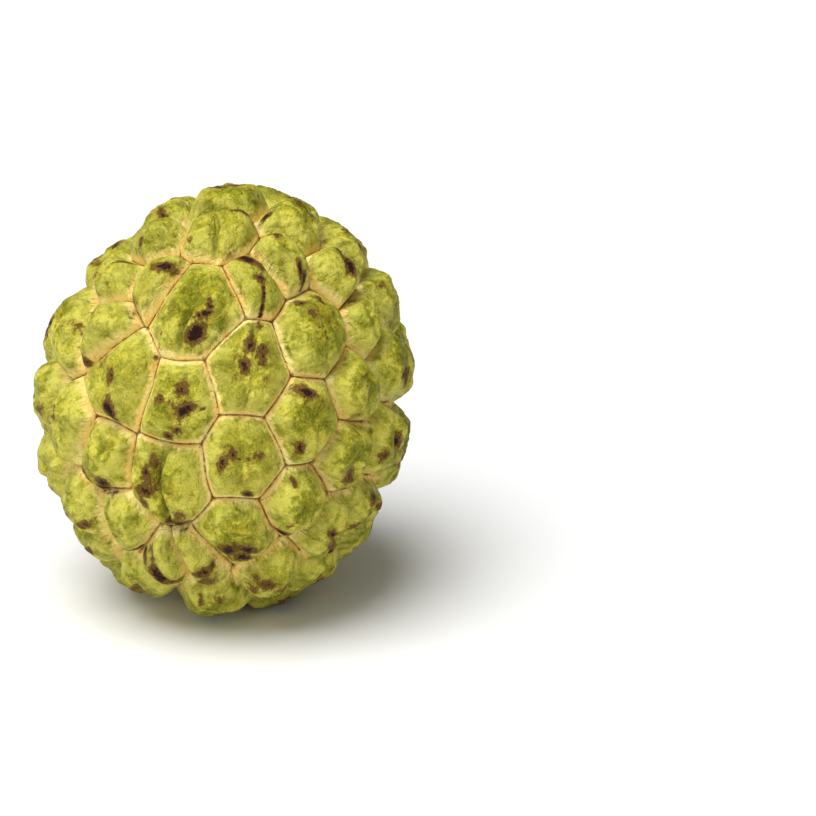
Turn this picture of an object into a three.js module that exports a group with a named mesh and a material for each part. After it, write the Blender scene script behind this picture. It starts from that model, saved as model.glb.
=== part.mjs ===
// Custard apple (sugar apple): one whole fruit with its short woody stem stub.
// Units are mm, +Z is up, the fruit rests on the plane z = 0 and its best-known side faces -Y.
//
// The fruit is a lumpy egg whose skin is divided into rounded scales.  Every scale owns the part of
// the skin that is nearer to its own centre than to any other centre, and swells into a dome that
// falls to nothing along the grooves.
import * as THREE from 'three';

// ---- driving dimensions (mm unless the name says degrees) ----
const FRUIT_WIDTH = 88;            // across X, over the scale crowns
const FRUIT_DEPTH = 90;            // across Y
const FRUIT_HEIGHT = 98;           // along Z, from the resting spot to the top crown
const SCALE_LIFT = 6.2;            // height of a scale's crown over the grooves
const LIFT_SPREAD = 0.14;          // how much that height differs from scale to scale
const LEAN_DEG = 8;                // the long axis of the egg leans this far toward +X
const REST_PRESS = 3.2;            // how far the lowest scale is pressed flat where it rests
const STEM_LON_DEG = 172;          // the stem grows out of the back, high up
const STEM_LAT_DEG = 38;
// Broad swellings and dips of the egg: [longitude, latitude, reach in degrees, height in mm].
// The first one is the shallow hollow around the stem.
const EGG_LUMPS = [
  [STEM_LON_DEG, STEM_LAT_DEG, 15, -5],
  [-105, 60, 24, -3],
  [88, 36, 22, 1.5],
];
const SEAT_REACH_DEG = 8;          // the flat seat under the stem's foot
const STEM_RADIUS = 3.5;
const STEM_FOOT_RADIUS = 4.2;
const STEM_LENGTH = 12.5;
const STEM_SIDES = 28;
const STEM_GAP = 0.3;              // air between the stem's foot and its seat in the fruit

// ---- how the scales are laid out ----
const RING_COUNT = 6;              // scales set evenly around the stem
const RING_AWAY_DEG = 19;          // from the stem to these scales
const SPIRAL_COUNT = 66;           // scales of the spiral that opens from this ring
const SPIRAL_FIRST_DEG = 36;       // from the stem to its first scale
const SPIRAL_SPAN_DEG = 92;        // from its first scale to its last
const SPIRAL_POWER = 0.75;         // below 1, scales crowd together near the stem
const GOLDEN_ANGLE_DEG = 137.508;
const CLEAR_ANGLE_DEG = 17;        // a spiral scale this close to a placed one is left out
const SPREAD_ROUNDS = 60;          // the spiral scales then push each other evenly apart
const SPREAD_PUSH = 0.0004;

// ---- how a scale is shaped ----
const CORNER_ROUNDING = 2.6;       // low values round the corners of a dome, high values keep them
const DOME_SHOULDER = 2.2;         // how early the dome levels off toward its crown
const DOME_START = 1.3;            // above 1, the dome leaves the groove along a low rim first
const RIM_SHARE = 0.08;            // part of the height gained at once, on the edge of the groove
const RIM_WIDTH = 0.3;             // how far from the groove that edge reaches
const CROWN_MARGIN = 1.04;
const GRID_STEPS = [0, 0.5, 0.85, 1]; // from the middle of a scale to its groove

// Placed scales, row by row from the top: [longitude, latitude, size in %, extra height in mm].
// Longitude 0 looks toward -Y and grows toward +X; all angles are in degrees.
const PLACED_SCALES = [
  [-90, 87, 0, 0], [0, 71, 0.5, 0], [70, 64, 0, 0], [-115, 68, 0, 0], [-58, 64, 0, 0],
  [-57, 49, 0, 0], [-30, 50, 0.4, -0.4], [-11, 45, 2.1, -1.4], [17, 52, 0, -0.4],
  [39, 56, 0, 0], [64, 46, 0, 0], [86, 47, 0, 0],
  [-69, 28, 0, 0], [-47, 32, 0, 0], [-36.5, 21, 1.4, -1], [-12, 17, 0.9, -1.8],
  [12, 25, 0.7, -2.2], [41, 33, 0.8, -0.6], [68, 27, 0, 0], [88, 31, 0, 0.5],
  [-75, 8, 0, 0], [-57, 4, 0, 0], [-39, -3, 0.2, -0.6], [-14, -6, 1.3, -1.2],
  [10, -1, 1, -2.6], [32, 9, 0.5, -1.4], [52, 14, 0, 0], [74, 17, 0, 0],
  [-72, -14, 0, 0], [-55, -21, 0, 0], [-34, -23, 0, 0], [-19, -35, 0, 0], [-6, -33, 0.3, 0],
  [8, -26, 1.4, -1.4], [28, -16, 0.5, -0.6], [45, -6, 0, 0], [65, -9, 0, 0],
  [-62, -38, 0, 0], [-38, -49, 0, 0], [-6, -57, 0, 0], [24, -42, 0, 0], [42, -28, 0, 0],
  [60, -26, 0, 0], [48, -47, 0, 0],
];
const REST_SCALE = [0, -90, 2, 0.8];
const SEAT_SIZE = -0.5;            // the stem's seat takes a little less room than a scale, in %

const RAD = Math.PI / 180;
const CORE = new THREE.Vector3(
  FRUIT_WIDTH / 2 - SCALE_LIFT,
  FRUIT_DEPTH / 2 - SCALE_LIFT,
  (FRUIT_HEIGHT + REST_PRESS) / 2 - SCALE_LIFT,
);
const MEAN_RADIUS = (CORE.x + CORE.y + CORE.z) / 3;

function direction(lonDeg, latDeg) {
  const lon = lonDeg * RAD;
  const lat = latDeg * RAD;
  return new THREE.Vector3(
    Math.sin(lon) * Math.cos(lat),
    -Math.cos(lon) * Math.cos(lat),
    Math.sin(lat),
  );
}

const STEM_AXIS = direction(STEM_LON_DEG, STEM_LAT_DEG);

// A repeatable number between -1 and 1 for the scale with this position in the list.
function unevenness(index) {
  const wave = Math.sin((index + 1) * 12.9898) * 4375.8545;
  return 2 * (wave - Math.floor(wave)) - 1;
}

// The direction this far from the stem, turned around it.
function aroundStem(awayDeg, turnDeg) {
  const side = new THREE.Vector3().crossVectors(STEM_AXIS, new THREE.Vector3(0, 0, 1)).normalize();
  side.applyAxisAngle(STEM_AXIS, turnDeg * RAD);
  const point = STEM_AXIS.clone().multiplyScalar(Math.cos(awayDeg * RAD));
  return point.addScaledVector(side, Math.sin(awayDeg * RAD));
}

function ringAroundStem() {
  return Array.from({ length: RING_COUNT }, (_, k) => aroundStem(RING_AWAY_DEG, 360 * k / RING_COUNT));
}

function spiralFromRing() {
  return Array.from({ length: SPIRAL_COUNT }, (_, k) => {
    const away = SPIRAL_FIRST_DEG + SPIRAL_SPAN_DEG * (k / SPIRAL_COUNT) ** SPIRAL_POWER;
    return aroundStem(away, k * GOLDEN_ANGLE_DEG);
  });
}

// The free points push each other, and are pushed by the placed ones, evenly over the sphere.
function spreadEvenly(points, firstFree) {
  for (let round = 0; round < SPREAD_ROUNDS; round += 1) {
    const pushes = points.map((point) => {
      const push = new THREE.Vector3();
      for (const other of points) {
        if (other === point) continue;
        const apart = point.clone().sub(other);
        push.addScaledVector(apart, apart.length() ** -5);
      }
      return push.addScaledVector(point, -push.dot(point));
    });
    for (let k = firstFree; k < points.length; k += 1) {
      points[k].addScaledVector(pushes[k], SPREAD_PUSH).normalize();
    }
  }
}

// Every scale: its centre stretched by its size, and the height of its crown.
function layOutScales() {
  const placed = [...PLACED_SCALES, REST_SCALE].map(([lon, lat, size, extra]) => (
    { centre: direction(lon, lat), size, extra }
  ));
  const ring = ringAroundStem().map((centre) => ({ centre, size: 0, extra: 0 }));
  const seat = { centre: STEM_AXIS.clone(), size: SEAT_SIZE, isSeat: true };
  const clear = Math.cos(CLEAR_ANGLE_DEG * RAD);
  const free = spiralFromRing()
    .filter((point) => placed.every((scale) => scale.centre.dot(point) < clear))
    .map((centre) => ({ centre, size: 0, extra: 0 }));
  const scales = [...placed, ...ring, seat, ...free];
  spreadEvenly(scales.map((scale) => scale.centre), scales.length - free.length);
  scales.forEach((scale, k) => {
    scale.lift = scale.isSeat ? 0 : SCALE_LIFT * (1 + LIFT_SPREAD * unevenness(k)) + scale.extra;
    scale.weighted = scale.centre.clone().multiplyScalar(1 + scale.size / 100);
  });
  return scales;
}

// Corners of the groove net: directions that three scales share and no fourth scale claims.
function findCorners(scales) {
  const corners = [];
  const ab = new THREE.Vector3();
  const ac = new THREE.Vector3();
  for (let i = 0; i < scales.length; i += 1) {
    for (let j = i + 1; j < scales.length; j += 1) {
      ab.subVectors(scales[j].weighted, scales[i].weighted);
      for (let k = j + 1; k < scales.length; k += 1) {
        ac.subVectors(scales[k].weighted, scales[i].weighted);
        const corner = new THREE.Vector3().crossVectors(ab, ac).normalize();
        if (corner.dot(scales[i].weighted) < 0) corner.negate();
        const claim = corner.dot(scales[i].weighted) + 1e-9;
        if (scales.every((scale) => corner.dot(scale.weighted) <= claim)) {
          corners.push({ at: corner, owners: [i, j, k] });
        }
      }
    }
  }
  return corners;
}

// The corners of one scale in counter-clockwise order seen from outside.
function outlineOf(scale, index, corners) {
  const own = corners.filter((corner) => corner.owners.includes(index));
  const middle = own.reduce((sum, corner) => sum.add(corner.at), new THREE.Vector3()).normalize();
  const helper = Math.abs(middle.z) < 0.9 ? new THREE.Vector3(0, 0, 1) : new THREE.Vector3(1, 0, 0);
  const east = new THREE.Vector3().crossVectors(helper, middle).normalize();
  const north = new THREE.Vector3().crossVectors(middle, east);
  own.sort((a, b) => Math.atan2(a.at.dot(north), a.at.dot(east))
    - Math.atan2(b.at.dot(north), b.at.dot(east)));
  const neighbours = new Set(own.flatMap((corner) => corner.owners));
  neighbours.delete(index);
  return { middle, ring: own.map((corner) => corner.at), neighbours: [...neighbours] };
}

// Rounded distance in mm from a skin direction to the grooves around its scale.
function distanceToGroove(at, walls) {
  let sum = 0;
  for (const wall of walls) {
    sum += Math.max(MEAN_RADIUS * at.dot(wall), 1e-9) ** -CORNER_ROUNDING;
  }
  return sum ** (-1 / CORNER_ROUNDING);
}

function domeProfile(distance, reach) {
  const dome = 1 - (1 - Math.min(distance / reach, 1) ** DOME_START) ** DOME_SHOULDER;
  const rim = 1 - Math.exp(-distance / RIM_WIDTH);
  return (1 - RIM_SHARE) * dome + RIM_SHARE * rim;
}

// Angle from the stem in degrees.
const fromStem = (at) => at.angleTo(STEM_AXIS) / RAD;

// Gentle waves that bend the straight grooves; they die out at the stem's seat.
function bendGrooves(at) {
  const bend = new THREE.Vector3(
    0.016 * Math.sin(9 * at.y + 1.3) + 0.006 * Math.sin(21 * at.z + 0.5),
    0.016 * Math.sin(8 * at.z + 2.1) + 0.006 * Math.sin(19 * at.x + 2.6),
    0.016 * Math.sin(9 * at.x + 0.4) + 0.006 * Math.sin(20 * at.y + 4.4),
  );
  const share = THREE.MathUtils.smoothstep(fromStem(at), SEAT_REACH_DEG, 3 * SEAT_REACH_DEG);
  return at.clone().addScaledVector(bend, share).normalize();
}

// Turns a vector into the leaning frame of the egg, or back with a negative angle.
const leaned = (v, angleDeg) => v.clone().applyAxisAngle(new THREE.Vector3(0, 1, 0), angleDeg * RAD);

// Point of the egg under the grooves, with its broad swellings and dips.
function eggPoint(at) {
  const point = leaned(leaned(at, -LEAN_DEG).multiply(CORE), LEAN_DEG);
  for (const [lonDeg, latDeg, reachDeg, height] of EGG_LUMPS) {
    const away = at.angleTo(direction(lonDeg, latDeg)) / RAD / reachDeg;
    point.addScaledVector(at, height * Math.exp(-away * away));
  }
  return point;
}

const eggNormal = (at) => leaned(leaned(at, -LEAN_DEG).divide(CORE), LEAN_DEG).normalize();

// How far the flat seat lies from the middle of the fruit, measured along the stem.
const SEAT_LEVEL = eggPoint(STEM_AXIS).dot(STEM_AXIS);

function skinPoint(at, lift, walls, reach) {
  const bent = bendGrooves(at);
  const point = eggPoint(bent);
  const seatShare = 1 - THREE.MathUtils.smoothstep(fromStem(at), SEAT_REACH_DEG, 2 * SEAT_REACH_DEG);
  point.addScaledVector(STEM_AXIS, seatShare * (SEAT_LEVEL - point.dot(STEM_AXIS)));
  return point.addScaledVector(eggNormal(bent), lift * domeProfile(distanceToGroove(at, walls), reach));
}

// One quarter-like patch of a scale: from its middle to a corner, bounded by two mid-groove points.
function addPatch(mesh, [middle, before, corner, after], place) {
  const rows = GRID_STEPS.map((a) => GRID_STEPS.map((b) => {
    const at = middle.clone().multiplyScalar((1 - a) * (1 - b));
    at.addScaledVector(before, a * (1 - b));
    at.addScaledVector(corner, a * b);
    at.addScaledVector(after, (1 - a) * b);
    return mesh.vertex(at.normalize(), place);
  }));
  for (let i = 0; i + 1 < GRID_STEPS.length; i += 1) {
    for (let j = 0; j + 1 < GRID_STEPS.length; j += 1) {
      mesh.faces.push(rows[i][j], rows[i + 1][j], rows[i + 1][j + 1]);
      mesh.faces.push(rows[i][j], rows[i + 1][j + 1], rows[i][j + 1]);
    }
  }
}

// Collects skin points; the same direction always gives the same point, so patches share edges.
function sharedMesh() {
  const known = new Map();
  const points = [];
  const vertex = (at, place) => {
    const key = at.toArray().map((value) => Math.round(value * 1e7)).join();
    if (!known.has(key)) {
      known.set(key, points.length);
      points.push(place(at));
    }
    return known.get(key);
  };
  return { vertex, points, faces: [] };
}

function addScale(mesh, scales, corners, index) {
  const scale = scales[index];
  const { middle, ring, neighbours } = outlineOf(scale, index, corners);
  const walls = neighbours.map((other) => scale.weighted.clone().sub(scales[other].weighted).normalize());
  const reach = CROWN_MARGIN * distanceToGroove(middle, walls);
  const place = (at) => skinPoint(at, scale.lift, walls, reach);
  ring.forEach((corner, k) => {
    const previous = ring[(k + ring.length - 1) % ring.length];
    const next = ring[(k + 1) % ring.length];
    const before = previous.clone().add(corner).normalize();
    const after = corner.clone().add(next).normalize();
    addPatch(mesh, [middle, before, corner, after], place);
  });
}

// Stretches the skin to the exact driving size and presses the lowest scale flat on z = 0.
function fitAndPress(points) {
  const box = new THREE.Box3().setFromPoints(points);
  const middle = box.getCenter(new THREE.Vector3());
  const size = box.getSize(new THREE.Vector3());
  const fit = {
    scale: new THREE.Vector3(FRUIT_WIDTH, FRUIT_DEPTH, FRUIT_HEIGHT + REST_PRESS).divide(size),
    low: new THREE.Vector3(middle.x, middle.y, box.min.z),
  };
  for (const point of points) {
    point.sub(fit.low).multiply(fit.scale);
    point.z = Math.max(point.z - REST_PRESS, 0);
  }
  return fit;
}

function makeFruit() {
  const scales = layOutScales();
  const corners = findCorners(scales);
  const mesh = sharedMesh();
  scales.forEach((scale, index) => addScale(mesh, scales, corners, index));
  const fit = fitAndPress(mesh.points);
  const geometry = new THREE.BufferGeometry().setFromPoints(mesh.points);
  geometry.setIndex(mesh.faces);
  return { geometry, fit };
}

// A short cut twig: a slightly spread foot, a plain shaft and a thicker broken end.
function makeStem(fit) {
  const outline = [
    [0, 0], [STEM_FOOT_RADIUS, 0], [STEM_FOOT_RADIUS - 0.2, 1], [STEM_RADIUS + 0.1, 2.8],
    [STEM_RADIUS, STEM_LENGTH / 2], [STEM_RADIUS + 0.1, STEM_LENGTH - 2.5],
    [STEM_RADIUS + 0.4, STEM_LENGTH - 0.8], [STEM_RADIUS, STEM_LENGTH], [0, STEM_LENGTH + 0.2],
  ].map(([radius, height]) => new THREE.Vector2(radius, height));
  const geometry = new THREE.LatheGeometry(outline, STEM_SIDES);
  const foot = eggPoint(STEM_AXIS).sub(fit.low).multiply(fit.scale);
  foot.z -= REST_PRESS;
  const along = STEM_AXIS.clone().divide(fit.scale).normalize();
  foot.addScaledVector(along, STEM_GAP);
  geometry.applyQuaternion(new THREE.Quaternion().setFromUnitVectors(new THREE.Vector3(0, 1, 0), along));
  geometry.translate(foot.x, foot.y, foot.z);
  return geometry;
}

function named(name, geometry, color, roughness) {
  const material = new THREE.MeshStandardMaterial({ color, roughness, metalness: 0 });
  const mesh = new THREE.Mesh(geometry, material);
  mesh.name = name;
  return mesh;
}

const { geometry: fruitGeometry, fit } = makeFruit();
const root = new THREE.Group();
root.name = 'custard_apple';
root.add(named('fruit', fruitGeometry, 0x9fae4c, 0.6));
root.add(named('stem', makeStem(fit), 0x5f4632, 0.85));

export default root;
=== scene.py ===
# %% [markdown]
# # A custard apple, built scale by scale
# A custard apple is one fruit grown from many flower parts. Each part leaves a rounded scale on
# the skin, and the scales meet in narrow cream grooves. The fruit could be sculpted by hand or
# pushed out from a painted height map, but here it is worked out as a formula: the same layout
# of scale centres always gives the same grooves, domes, colours and bruises, and every step can
# be read.

# %% Load the measured model
from itertools import combinations

import bpy
import numpy as np
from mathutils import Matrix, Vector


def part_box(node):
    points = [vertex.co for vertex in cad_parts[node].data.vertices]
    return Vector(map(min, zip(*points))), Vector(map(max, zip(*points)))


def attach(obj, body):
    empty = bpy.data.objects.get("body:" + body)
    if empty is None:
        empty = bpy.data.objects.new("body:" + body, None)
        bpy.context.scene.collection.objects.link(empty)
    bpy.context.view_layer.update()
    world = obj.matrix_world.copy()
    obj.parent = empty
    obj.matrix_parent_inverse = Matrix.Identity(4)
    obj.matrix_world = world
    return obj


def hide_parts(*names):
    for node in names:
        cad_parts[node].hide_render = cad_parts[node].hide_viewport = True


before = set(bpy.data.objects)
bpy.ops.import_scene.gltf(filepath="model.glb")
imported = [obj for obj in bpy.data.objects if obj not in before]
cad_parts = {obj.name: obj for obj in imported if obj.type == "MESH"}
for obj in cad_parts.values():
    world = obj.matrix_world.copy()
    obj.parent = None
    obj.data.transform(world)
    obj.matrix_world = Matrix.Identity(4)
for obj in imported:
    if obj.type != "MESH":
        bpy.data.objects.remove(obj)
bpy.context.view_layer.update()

# %% [markdown]
# ## Where the scales sit
# On the real fruit the scales follow the spirals of the flower, but crowd and stretch as the
# fruit swells. A pure spiral looks too tidy, so the centres on the showing side are placed one by
# one, a ring of six closes around the stem, and a golden-angle spiral fills the rest. The filling
# scales push one another apart until they are evenly spaced, as growing scales do.

# %% Directions and sizes of the egg
MM = 0.001
SCALE_LIFT = 6.2                                # crown height over the grooves, mm
LIFT_SPREAD = 0.14
REST_PRESS = 3.2                                # the lowest scale is pressed flat by this much
EGG_CORE = np.array([44.0, 45.0, (98.0 + REST_PRESS) / 2]) - SCALE_LIFT  # half sizes, at the grooves
MEAN_RADIUS = EGG_CORE.mean()
LEAN_DEG = 8.0                                  # the long axis leans toward +X
STEM_LON_DEG, STEM_LAT_DEG = 172.0, 38.0
# Broad swellings and dips of the egg: longitude, latitude, reach in degrees, height in mm.
# The first one is the hollow around the stem.
EGG_LUMPS = [(STEM_LON_DEG, STEM_LAT_DEG, 15, -5.0), (-105, 60, 24, -3.0), (88, 36, 22, 1.5)]
SEAT_REACH_DEG = 8.0


def direction(lon_deg, lat_deg):
    """Unit vectors; longitude 0 looks toward -Y and grows toward +X, latitude 90 is straight up."""
    lon, lat = np.radians(lon_deg), np.radians(lat_deg)
    return np.stack([np.sin(lon) * np.cos(lat), -np.cos(lon) * np.cos(lat), np.sin(lat)], -1)


def unit(vectors):
    """Each vector divided by its own length."""
    return vectors / np.linalg.norm(vectors, axis=-1, keepdims=True)


STEM_AXIS = direction(STEM_LON_DEG, STEM_LAT_DEG)

# %% Scales placed one by one: longitude, latitude, size in %, extra height in mm
PLACED_SCALES = np.array([
    [-90, 87, 0, 0], [0, 71, 0.5, 0], [70, 64, 0, 0], [-115, 68, 0, 0], [-58, 64, 0, 0],
    [-57, 49, 0, 0], [-30, 50, 0.4, -0.4], [-11, 45, 2.1, -1.4], [17, 52, 0, -0.4],
    [39, 56, 0, 0], [64, 46, 0, 0], [86, 47, 0, 0],
    [-69, 28, 0, 0], [-47, 32, 0, 0], [-36.5, 21, 1.4, -1], [-12, 17, 0.9, -1.8],
    [12, 25, 0.7, -2.2], [41, 33, 0.8, -0.6], [68, 27, 0, 0], [88, 31, 0, 0.5],
    [-75, 8, 0, 0], [-57, 4, 0, 0], [-39, -3, 0.2, -0.6], [-14, -6, 1.3, -1.2],
    [10, -1, 1, -2.6], [32, 9, 0.5, -1.4], [52, 14, 0, 0], [74, 17, 0, 0],
    [-72, -14, 0, 0], [-55, -21, 0, 0], [-34, -23, 0, 0], [-19, -35, 0, 0], [-6, -33, 0.3, 0],
    [8, -26, 1.4, -1.4], [28, -16, 0.5, -0.6], [45, -6, 0, 0], [65, -9, 0, 0],
    [-62, -38, 0, 0], [-38, -49, 0, 0], [-6, -57, 0, 0], [24, -42, 0, 0], [42, -28, 0, 0],
    [60, -26, 0, 0], [48, -47, 0, 0],
    [0, -90, 2, 0.8],
])


def around_stem(away_deg, turn_deg):
    """Directions a given angle away from the stem, turned around it."""
    away, turn = np.radians(away_deg)[..., None], np.radians(turn_deg)[..., None]
    side = unit(np.cross(STEM_AXIS, [0.0, 0.0, 1.0]))
    across = np.cross(STEM_AXIS, side)
    return np.cos(away) * STEM_AXIS + np.sin(away) * (np.cos(turn) * side + np.sin(turn) * across)


def spread_evenly(centres, first_free, rounds=60, push_share=0.0004):
    """Repulsion: each free centre moves along the sum of 1/distance^4 pushes, kept on the sphere."""
    for _ in range(rounds):
        apart = centres[:, None] - centres[None]
        distance = np.linalg.norm(apart, axis=-1) + np.eye(len(centres))
        push = (apart * distance[..., None] ** -5).sum(1)
        push -= (push * centres).sum(1, keepdims=True) * centres
        centres[first_free:] = unit(centres[first_free:] + push_share * push[first_free:])
    return centres


def unevenness(index):
    """A repeatable number from -1 to 1 for each scale."""
    wave = np.sin((index + 1) * 12.9898) * 4375.8545
    return 2 * (wave - np.floor(wave)) - 1


def lay_out_scales(ring_count=6, spiral_count=66, clear_deg=17.0):
    """Placed centres, the ring, the stem's seat and the filling spiral, with sizes and lifts."""
    placed = direction(PLACED_SCALES[:, 0], PLACED_SCALES[:, 1])
    ring = around_stem(np.full(ring_count, 19.0), 360 * np.arange(ring_count) / ring_count)
    k = np.arange(spiral_count)
    spiral = around_stem(36 + 92 * (k / spiral_count) ** 0.75, k * 137.508)
    spiral = spiral[(spiral @ placed.T).max(1) < np.cos(np.radians(clear_deg))]
    centres = np.vstack([placed, ring, STEM_AXIS[None], spiral])
    seat = len(placed) + ring_count
    centres = spread_evenly(centres, seat + 1)
    size, extra = np.zeros(len(centres)), np.zeros(len(centres))
    size[:len(placed)], extra[:len(placed)] = PLACED_SCALES[:, 2], PLACED_SCALES[:, 3]
    size[seat] = -0.5
    lift = SCALE_LIFT * (1 + LIFT_SPREAD * unevenness(np.arange(len(centres)))) + extra
    lift[seat] = 0
    return centres, centres * (1 + size[:, None] / 100), lift, seat


centres, weighted, lifts, seat = lay_out_scales()
print("scales:", len(centres), "crown heights in mm:", np.round([lifts.min(), lifts.max()], 1))

# %% [markdown]
# ## The net of grooves
# Every scale owns the skin nearer to its own centre than to any other, as soap bubbles share a
# plate. The borders are then straight arcs that meet three at a time, just like the real grooves.
# Instead of testing points one by one, the corners of the net are found directly: a direction
# that three scales share and no fourth scale claims.

# %% Corners of the net and the outline of each scale


def find_corners(weighted):
    """For every three scales: the direction with equal claim, kept if no other claim is larger."""
    triples = np.array(list(combinations(range(len(weighted)), 3)))
    a, b, c = weighted[triples[:, 0]], weighted[triples[:, 1]], weighted[triples[:, 2]]
    at = unit(np.cross(b - a, c - a))
    at *= np.where((at * a).sum(1) < 0, -1, 1)[:, None]
    keep = (at @ weighted.T).max(1) <= (at * a).sum(1) + 1e-9
    return at[keep], triples[keep]


def outline(index, corner_at, corner_owners):
    """The corners of one scale, counter-clockwise from outside, and its neighbours."""
    own = (corner_owners == index).any(1)
    ring = corner_at[own]
    middle = unit(ring.sum(0))
    helper = np.array([0.0, 0, 1]) if abs(middle[2]) < 0.9 else np.array([1.0, 0, 0])
    east = unit(np.cross(helper, middle))
    north = np.cross(middle, east)
    ring = ring[np.argsort(np.arctan2(ring @ north, ring @ east))]
    neighbours = np.setdiff1d(np.unique(corner_owners[own]), [index])
    return middle, ring, neighbours


corner_at, corner_owners = find_corners(weighted)
outlines = [outline(k, corner_at, corner_owners) for k in range(len(centres))]
print("groove corners:", len(corner_at), "most sides:", max(len(o[1]) for o in outlines))

# %% [markdown]
# ## A mesh that follows the grooves
# A sphere cut by latitude and longitude would cross the grooves at random and blur them. Here
# each scale is cut into kites, one per corner, from its middle to the two nearest groove middles.
# A kite is filled by a square grid whose lines crowd toward the groove, where the skin turns
# sharply, and neighbouring kites share their edge points, so the skin closes without a seam.

# %% Kites, and the directions on them
GRID_STEPS = 14


def make_kites(outlines):
    """Four directions per kite: scale middle, mid-groove before, corner, mid-groove after."""
    kites, owners = [], []
    for index, (middle, ring, _) in enumerate(outlines):
        before = unit(np.roll(ring, 1, axis=0) + ring)
        after = unit(ring + np.roll(ring, -1, axis=0))
        kites.append(np.stack([np.broadcast_to(middle, ring.shape), before, ring, after], 1))
        owners.append(np.full(len(ring), index))
    return np.concatenate(kites), np.concatenate(owners)


def fill_kites(kites, steps):
    """Two-way blend of the four directions; steps are 1-(1-s)^1.5, so they crowd at the groove."""
    s = 1 - (1 - np.linspace(0, 1, steps + 1)) ** 1.5
    a, b = np.meshgrid(s, s, indexing="ij")
    shares = np.stack([(1 - a) * (1 - b), a * (1 - b), a * b, (1 - a) * b], -1)
    return unit(np.einsum("abk,nkc->nabc", shares, kites))


def weld(points, steps):
    """Points that round to the same place become one, and the grid squares index them."""
    flat = points.reshape(-1, 3)
    rounded = np.round(flat * 1e7).astype(np.int64)
    _, first, inverse = np.unique(rounded, axis=0, return_index=True, return_inverse=True)
    grid = inverse.reshape(points.shape[:3])
    quads = np.stack([grid[:, :-1, :-1], grid[:, 1:, :-1], grid[:, 1:, 1:], grid[:, :-1, 1:]], -1)
    return first, quads.reshape(-1, 4)


kites, kite_owner = make_kites(outlines)
grid_points = fill_kites(kites, GRID_STEPS)
first, quads = weld(grid_points, GRID_STEPS)
skin_dir = grid_points.reshape(-1, 3)[first]
skin_owner = np.repeat(kite_owner, (GRID_STEPS + 1) ** 2)[first]
print("skin points:", len(skin_dir), "triangles:", 2 * len(quads))

# %% [markdown]
# ## Swelling the scales
# Seen up close, a scale is a low cushion: it leaves the groove steeply, turns over a soft
# shoulder and then rises slowly to its crown. The distance to the grooves, rounded at the
# corners, drives both parts of this profile.

# %% Distance to the grooves and the cushion profile


def groove_walls(outlines, weighted):
    """Unit normals of the planes between each scale and its neighbours, padded with zeros."""
    most = max(len(neighbours) for _, _, neighbours in outlines)
    walls = np.zeros((len(outlines), most, 3))
    for index, (_, _, neighbours) in enumerate(outlines):
        walls[index, :len(neighbours)] = unit(weighted[index] - weighted[neighbours])
    return walls


def groove_distance(at, owner, walls, rounding=2.6):
    """Millimetres to every wall, joined as (sum of distance^-p)^(-1/p)."""
    away = MEAN_RADIUS * np.einsum("vc,vnc->vn", at, walls[owner])
    real = (walls[owner] ** 2).sum(-1) > 0
    terms = np.where(real, np.maximum(away, 1e-9), np.inf) ** -rounding
    return terms.sum(1) ** (-1 / rounding)


walls = groove_walls(outlines, weighted)
middles = np.array([middle for middle, _, _ in outlines])
reach = 1.04 * groove_distance(middles, np.arange(len(middles)), walls)
from_groove = groove_distance(skin_dir, skin_owner, walls)
inward = np.minimum(from_groove / reach[skin_owner], 1)
print("scale reach in mm:", np.round([reach.min(), reach.mean(), reach.max()], 1))

# %% Where the egg itself lies


def degrees_between(at, axis):
    """Angle from each direction to one axis."""
    return np.degrees(np.arccos(np.clip(at @ axis, -1, 1)))


def smoothstep(x, low, high):
    """0 below low, 1 above high, and a soft S between them."""
    t = np.clip((x - low) / (high - low), 0, 1)
    return t * t * (3 - 2 * t)


def bend_grooves(at):
    """Adds two sizes of sine waves to the direction, faded out at the stem's seat."""
    x, y, z = at.T
    wave = np.stack([
        0.016 * np.sin(9 * y + 1.3) + 0.006 * np.sin(21 * z + 0.5),
        0.016 * np.sin(8 * z + 2.1) + 0.006 * np.sin(19 * x + 2.6),
        0.016 * np.sin(9 * x + 0.4) + 0.006 * np.sin(20 * y + 4.4),
    ], -1)
    share = smoothstep(degrees_between(at, STEM_AXIS), SEAT_REACH_DEG, 3 * SEAT_REACH_DEG)
    return unit(at + share[:, None] * wave)


def leaned(vectors, angle_deg):
    """Turned around Y."""
    c, s = np.cos(np.radians(angle_deg)), np.sin(np.radians(angle_deg))
    return vectors @ np.array([[c, 0, -s], [0, 1, 0], [s, 0, c]])


def egg_point(at):
    """The direction stretched to the leaning egg, plus height*exp(-(angle/reach)^2) per lump."""
    point = leaned(leaned(at, -LEAN_DEG) * EGG_CORE, LEAN_DEG)
    for lon, lat, reach_deg, height in EGG_LUMPS:
        share = np.exp(-(degrees_between(at, direction(lon, lat)) / reach_deg) ** 2)
        point = point + height * share[..., None] * at
    return point


def egg_normal(at):
    return unit(leaned(leaned(at, -LEAN_DEG) / EGG_CORE, LEAN_DEG))


seat_level = egg_point(STEM_AXIS[None])[0] @ STEM_AXIS
bent = bend_grooves(skin_dir)
ground = egg_point(bent)
seat_share = 1 - smoothstep(degrees_between(skin_dir, STEM_AXIS), SEAT_REACH_DEG,
                            2 * SEAT_REACH_DEG)
ground += (seat_share * (seat_level - ground @ STEM_AXIS))[:, None] * STEM_AXIS
outward = egg_normal(bent)

# %% [markdown]
# ## Folds, seams and swellings inside a scale
# The cushions are not smooth. A few scales have a deep seam where two flower parts grew
# together, many have a shallow midrib or fold, and all of them undulate a little. Seams are drawn
# as strokes on the scale and take away a share of its height, so they always run out cleanly into
# the groove. The undulation is a sum of waves in random directions, which never repeats visibly.

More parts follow.
